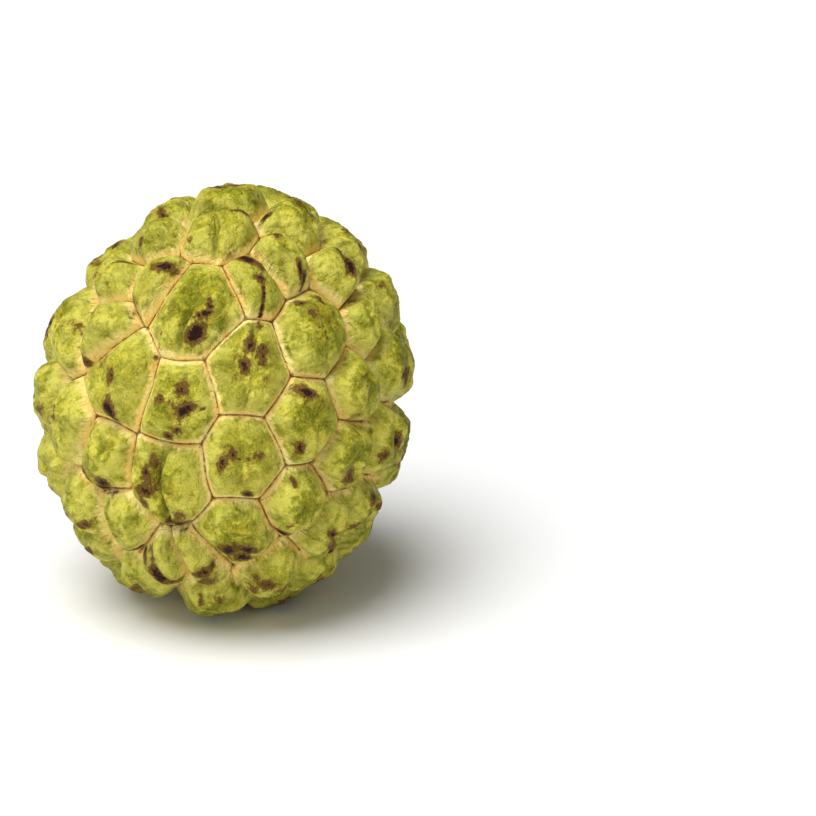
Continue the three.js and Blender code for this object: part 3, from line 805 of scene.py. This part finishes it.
# %% Corky lines in the grooves and dots where they meet
ragged = net.sum("ADD", rim, net.sum("MULTIPLY",
                 net.sum("SUBTRACT", net.noise(at, 0.9, 3, 0.6), 0.5), 0.35))
cork = net.sum("MULTIPLY", net.mask(ragged, 0.16, 0.07),
               net.mask(net.noise(at, 1.6, 4, 0.7), 0.40, 0.56))
colour = net.blend(net.sum("MULTIPLY", net.mask(ragged, 0.40, 0.12), 0.25), colour,
                   seen(222, 176, 94))
colour = net.blend(net.sum("MULTIPLY", cork, 0.7), colour, seen(164, 96, 42))
corner = net.sum("ADD", net.kept("junction_mm"),
                 net.sum("MULTIPLY", net.sum("SUBTRACT", net.noise(at, 1.4, 2), 0.5), 1.8))
colour = net.blend(net.sum("MULTIPLY", net.mask(corner, 0.7, 0.2), 0.65), colour,
                   seen(128, 72, 32))

# %% Bruises: a yellow-brown dusting, a ragged brown stain and its dark heart
frayed = net.sum("ADD", net.kept("bruise"), net.sum("MULTIPLY",
                 net.sum("SUBTRACT", net.noise(at, 1.1, 5, 0.75, 0.5), 0.5), 1.35))
stain = net.mask(frayed, 0.40, 0.60)
heart = net.mask(frayed, 0.64, 0.88)
dusting = net.mask(frayed, 0.16, 0.46)
colour = net.blend(net.sum("MULTIPLY", dusting, 0.60), colour, seen(150, 120, 46))
colour = net.blend(net.sum("MULTIPLY", stain, 0.82), colour, seen(108, 70, 36))
colour = net.blend(net.sum("MULTIPLY", heart, 0.96), colour, seen(38, 16, 18))
flecks = net.add("ShaderNodeTexVoronoi", {"Vector": at, "Scale": 0.62}, out="Distance")
fleck = net.sum("MULTIPLY", net.mask(flecks, 0.13, 0.06),
                net.mask(net.noise(at, 6.0, 2), 0.48, 0.60))
colour = net.blend(net.sum("MULTIPLY", fleck, 0.7), colour, seen(92, 74, 40))
net.tree.links.new(colour, shader.inputs["Base Color"])

# %% Its gloss and fine relief
[creased] = use_group(net, wrinkle_tree, {"Size mm": 2.8, "Grain mm": 0.35, "Grain share": 0.16},
                      ["Height"])
relief = net.sum("ADD", net.sum("MULTIPLY", creased, 1.6), net.sum("MULTIPLY", streaks, net.sum(
    "MULTIPLY", net.mask(relative, 4.0, 1.0), 0.35)))
relief = net.sum("SUBTRACT", relief, net.sum("MULTIPLY", stain, 0.22))
relief = net.sum("SUBTRACT", relief, net.sum("MULTIPLY", cork, 0.30))
net.tree.links.new(bump(net, relief, 0.001, 1.0), shader.inputs["Normal"])
sheen_spread = net.sum("ADD", net.sum("MULTIPLY", net.noise(at, 1.2, 3), 0.22), 0.36)
dull = net.sum("ADD", sheen_spread, net.sum("MULTIPLY", net.mask(relative, 2.0, 0.3), 0.14))
net.tree.links.new(dull, shader.inputs["Roughness"])
fruit.data.materials.append(skin_finish)

# %% [markdown]
# ## The stem stub
# The twig that carried the fruit stays behind as a short woody stub. Its bark is ridged along the
# twig and flares where it grows out of the fruit, and its broken end is a rough disc with a darker
# pith. A cylinder would look machined, so it is a profile carried around and pushed by ridges.

# %% The stem as a grid around and along the twig


def stem_side(turn, height):
    """Radius = profile(height) * (1 + ridges along + rings around + lobes), row by row."""
    base = np.interp(height, [-0.9, 0, 0.6, 1.6, 3.2, 6, 10, 11.6, 12.4],
                     [4.45, 4.4, 4.15, 3.75, 3.5, 3.42, 3.55, 3.85, 3.75])
    t, h = np.meshgrid(turn, height)
    ridges = 0.050 * np.sin(7 * t + 0.5 * np.sin(h * 0.9)) + 0.030 * np.sin(13 * t + h * 0.35)
    ridges += 0.018 * np.sin(29 * t - h * 0.6 + 1.5 * np.sin(h * 1.7))
    rings = 0.016 * np.sin(h * 5.2 + 1.2 * np.sin(2 * t)) + 0.010 * np.sin(h * 11 + 3 * t)
    lobes = 0.045 * np.sin(2 * t + 0.6) + 0.03 * np.sin(3 * t + h * 0.12)
    radius = base[:, None] * (1 + ridges + rings + lobes)
    return radius, np.stack([radius * np.cos(t), radius * np.sin(t), h], -1)


def stem_end(turn, rim_radius, rim_height, share):
    """Rings of a shrinking share of the rim: a low dome of torn fibres with a dip at the pith."""
    fibre = 0.14 * np.sin(9 * turn + 8 * share) + 0.09 * np.sin(23 * turn - 14 * share)
    pith = -0.55 * np.exp(-(share / 0.28) ** 2)
    top = rim_height + 0.22 * (1 - share ** 8) + fibre * share * (1 - share ** 6) + pith
    return np.stack([rim_radius * share * np.cos(turn), rim_radius * share * np.sin(turn), top], -1)


def closed_rows(row_count, around):
    """Squares between rows of points, and a fan to the point before them and the one after."""
    rows = 1 + np.arange(row_count * around).reshape(-1, around)
    ahead = np.roll(rows, -1, axis=1)
    walls = np.stack([rows[:-1], ahead[:-1], ahead[1:], rows[1:]], -1).reshape(-1, 4)
    foot = np.stack([np.zeros(around, int), ahead[0], rows[0]], -1)
    tip = np.stack([np.full(around, rows[-1, -1] + 1), rows[-1], ahead[-1]], -1)
    return walls.tolist() + foot.tolist() + tip.tolist()


def stem_surface(around=160, along=90, end_rings=22):
    """The side rows and the end rings as one closed skin, with 1 on the end and 0 elsewhere."""
    turn = np.linspace(0, 2 * np.pi, around, endpoint=False)
    height = np.concatenate([[-0.9], np.linspace(-0.6, 12.4, along)])
    share = np.linspace(1, 0, end_rings + 1)[1:-1, None]
    radius, side = stem_side(turn, height)
    end = stem_end(turn, radius[-1], height[-1], share)
    foot_middle, end_middle = [[0, 0, height[0]]], [[0, 0, height[-1] - 0.33]]
    points = np.concatenate([foot_middle, side.reshape(-1, 3), end.reshape(-1, 3), end_middle])
    faces = closed_rows(len(height) + len(share), around)
    on_end = np.concatenate([np.zeros(1 + side.size // 3), (1 - share ** 6 + 0 * turn).ravel(),
                             [1.0]])
    return points, faces, on_end, np.linalg.norm(points[:, :2], axis=1)


stem_points, stem_faces, on_end, from_pith = stem_surface()
stem_up = unit(STEM_AXIS / fit)
stem_side = unit(np.cross(stem_up, [0, 0, 1.0]))
stem_across = np.cross(stem_up, stem_side)
foot_at = (egg_point(STEM_AXIS[None])[0] - raw_low) * fit + low - [0, 0, REST_PRESS]
placed_stem = foot_at + stem_points @ np.stack([stem_side, stem_across, stem_up])
along_twig = stem_points[:, 2]

stem = mesh_object("stem_stub", placed_stem, stem_faces, "stem")
keep_on_points(stem, "along_twig", along_twig)
keep_on_points(stem, "on_end", on_end)
keep_on_points(stem, "from_pith", from_pith)
turn_on_twig = np.arctan2(stem_points[:, 1], stem_points[:, 0])
keep_on_points(stem, "bark_place", np.column_stack([
    np.cos(turn_on_twig) * 3.5, np.sin(turn_on_twig) * 3.5, along_twig * 0.28]))
print("stem:", len(stem.data.polygons), "faces, length in mm:", np.ptp(along_twig).round(1))

# %% Bark and broken end
stem_finish, net, shader = surface("custard_apple_stem", Specular_IOR_Level=0.25)
at = net.object_mm()
bark, clouds = use_group(net, mottle_tree, {
    "Patch mm": 3.0, "Grain mm": 0.7, "Sharpness": 1.5, "Main colour": seen(106, 82, 58),
    "Dark colour": seen(66, 46, 32), "Light colour": seen(146, 122, 90)}, ["Colour", "Amount"])
furrow = net.noise(net.kept("bark_place", out="Vector"), 0.55, 4, 0.6, 0.4)
bark = net.blend(net.mask(furrow, 0.50, 0.38), bark, seen(52, 36, 26))
bark = net.blend(net.sum("MULTIPLY", net.mask(furrow, 0.58, 0.72), 0.6), bark, seen(160, 138, 104))
foot_green = net.mask(net.sum("ADD", net.kept("along_twig"), net.noise(at, 1.5, 3)), 1.6, 0.5)
bark = net.blend(net.sum("MULTIPLY", foot_green, 0.6), bark, seen(128, 122, 66))
pith_at = net.sum("ADD", net.kept("from_pith"), net.noise(at, 0.8, 3))
wood = net.blend(net.mask(net.noise(at, 0.5, 4, 0.65), 0.4, 0.62), seen(118, 88, 60),
                 seen(158, 128, 92))
wood = net.blend(net.mask(pith_at, 1.9, 1.1), wood, seen(60, 40, 28))
colour = net.blend(net.mask(net.kept("on_end"), 0.05, 0.5), bark, wood)
net.tree.links.new(colour, shader.inputs["Base Color"])
[rough_bark] = use_group(net, wrinkle_tree, {"Size mm": 0.9, "Grain mm": 0.25,
                                             "Grain share": 0.4}, ["Height"])
height = net.sum("ADD", rough_bark, net.sum("MULTIPLY", furrow, 0.8))
net.tree.links.new(bump(net, height, 0.0008, 0.9), shader.inputs["Normal"])
net.tree.links.new(net.mask(clouds, 1.4, -0.4), shader.inputs["Roughness"])
stem.data.materials.append(stem_finish)
for node_name, finish in (("fruit", skin_finish), ("stem", stem_finish)):
    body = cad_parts[node_name]
    body.data.materials.clear()
    body.data.materials.append(finish)

# %% [markdown]
# ## A pale table, soft light and the view
# The fruit lies on a plain white table that runs out of sight, so it seems to float on its own
# soft shadow. A sun as wide as a window, high on the left, gives the form; a weak lamp in front
# opens the shadows; and the white surroundings add a little light from everywhere. The lens is
# long, so near and far scales keep their true proportions.

# %% Table
floor_mesh = bpy.data.meshes.new("table_top")
floor_mesh.from_pydata([(-6, -6, 0), (6, -6, 0), (6, 6, 0), (-6, 6, 0)], [], [(0, 1, 2, 3)])
table = bpy.data.objects.new("table_top", floor_mesh)
bpy.context.scene.collection.objects.link(table)
table_finish, net, shader = surface("white_table", Specular_IOR_Level=0.1, Roughness=0.85)
[table_colour] = use_group(net, mottle_tree, {
    "Patch mm": 400.0, "Grain mm": 90.0, "Sharpness": 0.4, "Main colour": seen(243, 243, 243),
    "Dark colour": seen(241, 241, 241), "Light colour": seen(245, 245, 245)},
    ["Colour"])
net.tree.links.new(table_colour, shader.inputs["Base Color"])
floor_mesh.materials.append(table_finish)

# %% Lamps and sky
from mathutils import Vector

fruit_middle = Vector(np.mean(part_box("fruit"), axis=0).tolist())


def soft_lamp(name, place, size, watts):
    """A square lamp that faces the middle of the fruit."""
    lamp = bpy.data.lights.new(name, "AREA")
    lamp.size, lamp.energy = size, watts
    holder = bpy.data.objects.new(name, lamp)
    bpy.context.scene.collection.objects.link(holder)
    holder.location = place
    holder.rotation_euler = (fruit_middle - Vector(place)).to_track_quat("-Z", "Y").to_euler()


window = bpy.data.lights.new("window_light", "SUN")
window.energy, window.angle = 3.30, np.radians(45)
window_holder = bpy.data.objects.new("window_light", window)
bpy.context.scene.collection.objects.link(window_holder)
window_holder.rotation_euler = Vector((0.30, 0.34, -1.10)).to_track_quat("-Z", "Y").to_euler()
soft_lamp("front_lamp", (-0.35, -0.80, 0.45), 0.50, 1.6)
sky = bpy.data.worlds.new("white_sky")
sky.use_nodes = True
SKY_LIGHT = 0.19                                # gives little light, yet looks white to the eye
sky_net = Net(sky.node_tree)
to_eye = sky_net.add("ShaderNodeLightPath", out="Is Camera Ray")
sky_share = sky_net.sum("MAXIMUM", to_eye, SKY_LIGHT)
sky.node_tree.nodes["Background"].inputs["Color"].default_value = (1, 1, 1, 1)
sky.node_tree.links.new(sky_share, sky.node_tree.nodes["Background"].inputs["Strength"])
bpy.context.scene.world = sky
bpy.context.scene.view_settings.view_transform = "Standard"

# %% View
VIEW_HEIGHT_DEG = 20.0
VIEW_DISTANCE = 0.701
VIEW_RIGHT, VIEW_UP = 0.0424, -0.0031           # the fruit stands left of the view's middle
tilt = np.radians(VIEW_HEIGHT_DEG)
view_up = Vector((0, np.sin(tilt), np.cos(tilt)))
view_along = Vector((0, np.cos(tilt), -np.sin(tilt)))
lens = bpy.data.cameras.new("view")
lens.lens = 135
view = bpy.data.objects.new("view", lens)
bpy.context.scene.collection.objects.link(view)
aim = Vector((0, 0, 0.0487)) + Vector((VIEW_RIGHT, 0, 0)) + view_up * VIEW_UP
view.location = aim - view_along * VIEW_DISTANCE
view.rotation_euler = (np.radians(90 - VIEW_HEIGHT_DEG), 0, 0)
bpy.context.scene.camera = view
